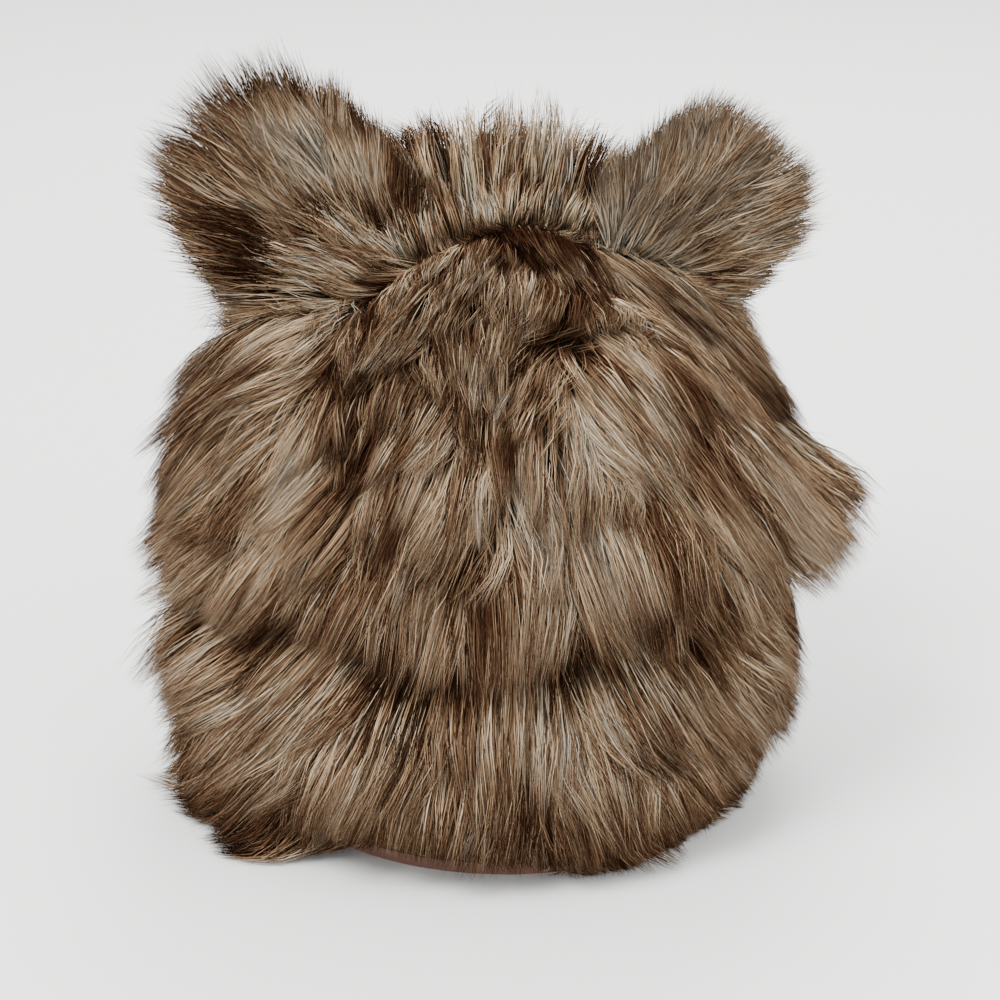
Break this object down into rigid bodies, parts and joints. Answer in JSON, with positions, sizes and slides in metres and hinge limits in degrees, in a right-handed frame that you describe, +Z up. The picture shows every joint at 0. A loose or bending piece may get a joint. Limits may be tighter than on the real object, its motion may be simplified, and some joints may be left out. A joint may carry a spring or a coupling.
{
  "type": "animal hat",
  "caption": "Long-pile faux-fur hat shaped as a bear-like animal's head, with a fur cuff, two round ears and a smooth brown lining.",
  "frame": {"origin": "middle of the rim, on the surface that the hat stands on", "axes": "+Z up through the crown, the brow faces -Y, +X to the right as the picture shows it"},
  "size_m": [0.263, 0.2799, 0.2631],
  "materials": {
    "faux_fur": "long tipped pile, matt with a soft sheen",
    "ear_fur": "long tipped pile, greyer than the crown",
    "lining_fabric": "smooth brushed lining, matt"
  },
  "bodies": {
    "root": {"lining": "lining_fabric", "crown_front": "faux_fur", "crown_back": "faux_fur", "cuff": "faux_fur", "ear_left": "ear_fur", "ear_right": "ear_fur"}
  },
  "joints": []
}
